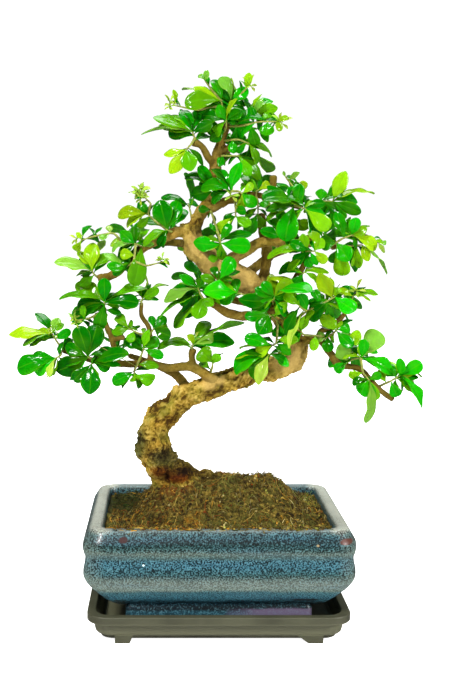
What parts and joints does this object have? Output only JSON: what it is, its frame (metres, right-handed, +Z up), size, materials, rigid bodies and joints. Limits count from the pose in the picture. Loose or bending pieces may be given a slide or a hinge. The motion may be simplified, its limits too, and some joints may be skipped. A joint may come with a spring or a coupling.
{
  "type": "fukien tea bonsai",
  "caption": "Small Fukien tea tree with a curved trunk and layered leafy branches, rooted in mounded soil in a glazed rectangular pot on a shallow drip tray.",
  "frame": {"origin": "on the supporting surface, under the centre of the overall bounding box", "axes": "+X to the right along the pot's long side, +Y away from the viewer, +Z up"},
  "size_m": [0.3374, 0.16, 0.4432],
  "materials": {
    "tray": "moulded dark olive-grey plastic, dull",
    "glaze": "speckled blue and celadon glaze, glossy",
    "drain_mesh": "plain dark plastic mesh",
    "soil": "damp fibrous potting mix",
    "bark": "fissured tan bark",
    "foliage": "waxy green leaves and shoots"
  },
  "bodies": {
    "root": {"drip_tray": "tray", "pot": "glaze", "drain_mesh_left": "drain_mesh", "drain_mesh_right": "drain_mesh", "soil": "soil", "trunk": "bark", "spray_apexLeft": "foliage", "spray_apexRight": "foliage", "spray_apexShoot": "foliage", "spray_apexHanging": "foliage", "spray_apexFront": "foliage", "spray_apexSide": "foliage", "spray_neckRight": "foliage", "spray_neckFront": "foliage", "spray_highMiddle": "foliage", "spray_highRightInner": "foliage", "spray_highRightOuter": "foliage", "spray_rightTip": "foliage", "spray_rightTipLow": "foliage", "spray_rightInner": "foliage", "spray_rightLow": "foliage", "spray_rightUpper": "foliage", "spray_bendOuter": "foliage", "spray_bendRight": "foliage", "spray_bendLow": "foliage", "spray_lowRightMiddle": "foliage", "spray_lowRightTip": "foliage", "spray_crownFront": "foliage", "spray_crownLow": "foliage", "spray_heartRight": "foliage", "spray_heartLeft": "foliage", "spray_heartLow": "foliage", "spray_heartYellow": "foliage", "spray_leftCrown": "foliage", "spray_leftMiddle": "foliage", "spray_leftShoots": "foliage", "spray_leftTip": "foliage", "spray_leftRiser": "foliage", "spray_farLeft": "foliage", "spray_farLeftInner": "foliage", "spray_lowLeftFront": "foliage", "spray_lowLeftRise": "foliage", "spray_lowLeftSide": "foliage", "spray_stubSpray": "foliage", "spray_trunkFront": "foliage", "spray_backTop": "foliage", "spray_backApex": "foliage", "spray_backHigh": "foliage", "spray_backLeftShoulder": "foliage", "spray_backCrown": "foliage", "spray_backLeft": "foliage", "spray_backLeftInner": "foliage", "spray_backRight": "foliage", "spray_backRightInner": "foliage", "spray_backBend": "foliage", "spray_backMiddle": "foliage", "spray_backMiddleRight": "foliage", "spray_backLow": "foliage", "spray_backLowRight": "foliage"}
  },
  "joints": []
}
